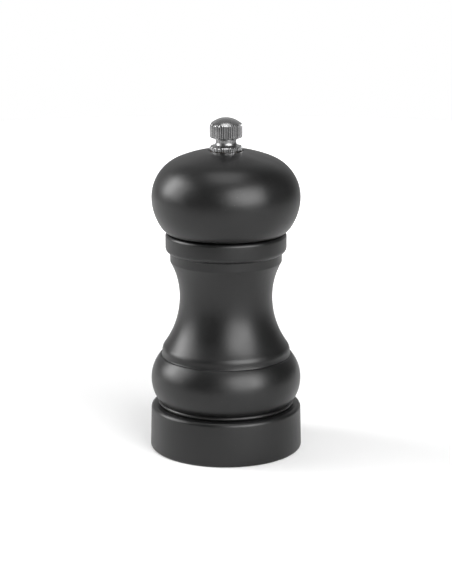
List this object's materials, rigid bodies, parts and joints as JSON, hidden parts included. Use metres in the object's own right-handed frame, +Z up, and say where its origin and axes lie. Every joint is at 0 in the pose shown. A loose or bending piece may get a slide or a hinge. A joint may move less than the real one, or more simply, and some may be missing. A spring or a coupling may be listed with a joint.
{
  "type": "pepper mill",
  "caption": "Turned wooden table pepper mill in satin black with a rounded head, a chrome thumb nut on top and a steel burr grinder in its base.",
  "frame": {"origin": "centre of the base's underside, on the mill's axis", "axes": "+Z up along the mill's axis, +X along the crossbar under the grinder"},
  "size_m": [0.0586, 0.0586, 0.1288],
  "materials": {
    "lacquer": "satin black lacquer over turned wood",
    "chrome": "polished chrome plate, with a straight knurl",
    "steel": "plain zinc-bright steel",
    "burr_steel": "hardened dark steel",
    "brass": "plain turned brass",
    "nylon": "matte black nylon"
  },
  "bodies": {
    "mill_body": {"body": "lacquer", "glide_ring": "nylon", "grinder_housing": "steel", "stator": "burr_steel", "crossbar": "steel", "crossbar_bushing": "brass", "crossbar_screw_1": "steel", "crossbar_screw_2": "steel"},
    "turning_set": {"thrust_washer": "brass", "spring": "steel"},
    "spindle_set": {"spindle": "steel", "rotor": "burr_steel", "rotor_washer": "steel", "rotor_circlip": "burr_steel"},
    "head_set": {"head": "lacquer", "head_ferrule": "brass", "drive_plate": "steel", "drive_plate_screw_1": "steel", "drive_plate_screw_2": "steel"},
    "washer_set": {"nut_washer": "nylon"},
    "nut_set": {"thumb_nut": "chrome"}
  },
  "joints": [
    {"name": "head_turn", "type": "hinge", "parent": "mill_body", "child": "turning_set", "pos_m": [0, 0, 0.09], "axis": [0, 0, 1], "continuous": true},
    {"name": "grind_adjust", "type": "slide", "parent": "turning_set", "child": "spindle_set", "axis": [0, 0, 1], "range_m": [0, 0.0016], "deforming": ["spring"]},
    {"name": "head_lift", "type": "slide", "parent": "turning_set", "child": "head_set", "axis": [0, 0, 1], "range_m": [0, 0.06]},
    {"name": "nut_lift", "type": "slide", "parent": "head_set", "child": "washer_set", "axis": [0, 0, 1], "range_m": [0, 0.02]},
    {"name": "nut_turn", "type": "hinge", "parent": "washer_set", "child": "nut_set", "pos_m": [0, 0, 0.122], "axis": [0, 0, 1], "range_deg": [-720, 0]}
  ],
  "couplings": [
    {"joint": "nut_turn", "follows": "grind_adjust", "rad_per_m": -7854}
  ]
}
